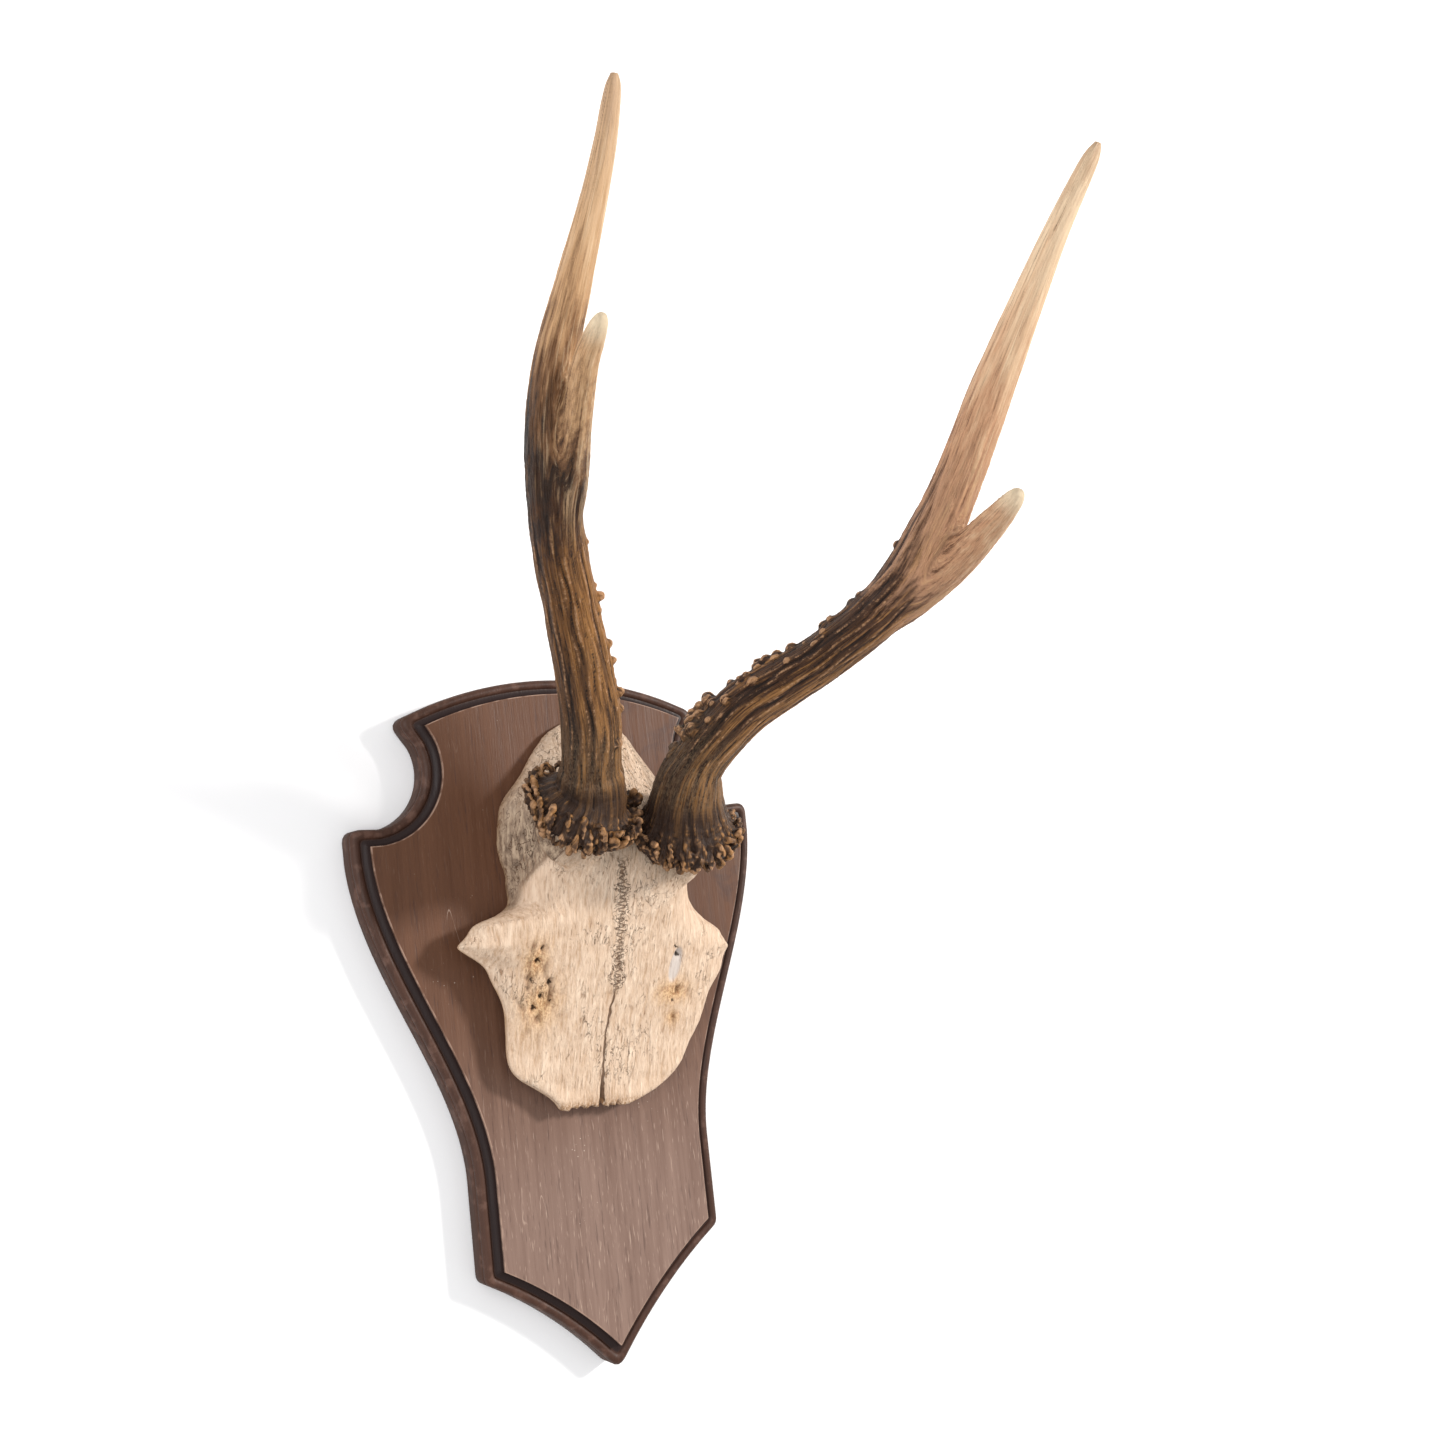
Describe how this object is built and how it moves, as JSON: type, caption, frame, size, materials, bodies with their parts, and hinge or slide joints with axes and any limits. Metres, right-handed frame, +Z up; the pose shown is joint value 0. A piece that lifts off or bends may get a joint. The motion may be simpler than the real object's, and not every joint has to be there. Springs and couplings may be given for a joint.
{
  "type": "mounted roe deer antlers",
  "caption": "Roe deer antlers on their sawn skull, fixed to a moulded wooden shield that hangs on a wall.",
  "frame": {"origin": "point on the shield's flat back, on its midline, where it bears on the wall, 40 mm below the top of the raised field and under the hanging recess", "axes": "+Z up the wall, +Y into the wall, -Y out of the wall towards the viewer, +X to the viewer's right"},
  "size_m": [0.1526, 0.194, 0.3239],
  "materials": {
    "wood": "dark purplish-brown stain, satin, worn along the edges",
    "bone": "dry cream bone with fine grain, cracks and pits",
    "antler": "dark brown grooved antler, pearled below and tan towards the pale tips"
  },
  "bodies": {
    "root": {"wooden_shield": "wood", "skull_and_antlers": "bone"}
  },
  "joints": []
}
